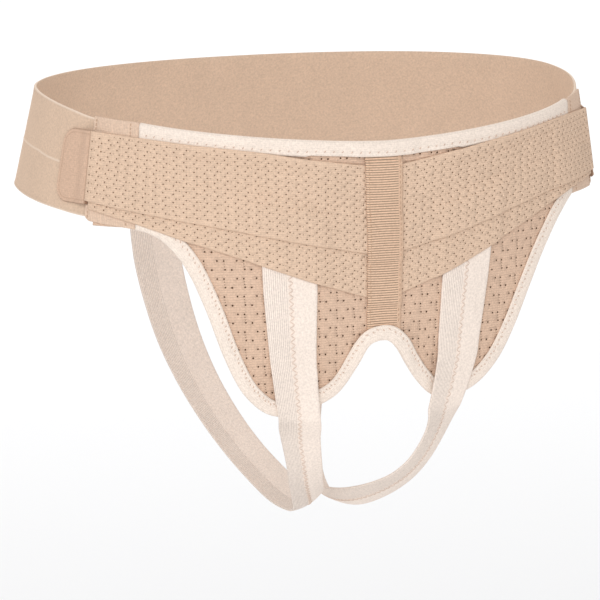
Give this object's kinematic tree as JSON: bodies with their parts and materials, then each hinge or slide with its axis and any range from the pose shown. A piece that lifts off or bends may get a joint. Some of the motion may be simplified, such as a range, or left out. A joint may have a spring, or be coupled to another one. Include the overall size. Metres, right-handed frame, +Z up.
{
  "type": "hernia belt",
  "caption": "Double-sided groin hernia belt in its worn shape, with a two-lobed perforated front panel, crossed compression bands, a back belt and two leg straps.",
  "frame": {"origin": "middle of the hips at the belt's mid-height", "axes": "+Z up; the front faces -Y; +X is the left side as worn"},
  "size_m": [0.362, 0.2564, 0.2654],
  "materials": {
    "mesh_cloth": "beige knitted mesh with eyelets, matt",
    "band_cloth": "beige elastic cloth with fine pinholes, matt",
    "loop_cloth": "beige brushed loop cloth, matt",
    "hook_tape": "tan hook tape with a pressed rim, satin",
    "end_elastic": "pale tan ribbed elastic, matt",
    "ribbed_webbing": "tan cross-ribbed webbing, satin",
    "binding_tape": "cream folded binding with zigzag stitches, matt",
    "strap_elastic": "cream plush-backed elastic with a zigzag seam, matt"
  },
  "bodies": {
    "root": {"front_panel": "mesh_cloth", "top_binding": "binding_tape", "lower_binding": "binding_tape", "back_belt": "loop_cloth", "centre_webbing": "ribbed_webbing", "upper_band_right": "band_cloth", "lower_band_right": "band_cloth", "hook_tab_right": "hook_tape", "end_facing_right": "end_elastic", "leg_strap_right": "strap_elastic", "upper_band_left": "band_cloth", "lower_band_left": "band_cloth", "hook_tab_left": "hook_tape", "end_facing_left": "end_elastic", "leg_strap_left": "strap_elastic"}
  },
  "joints": []
}
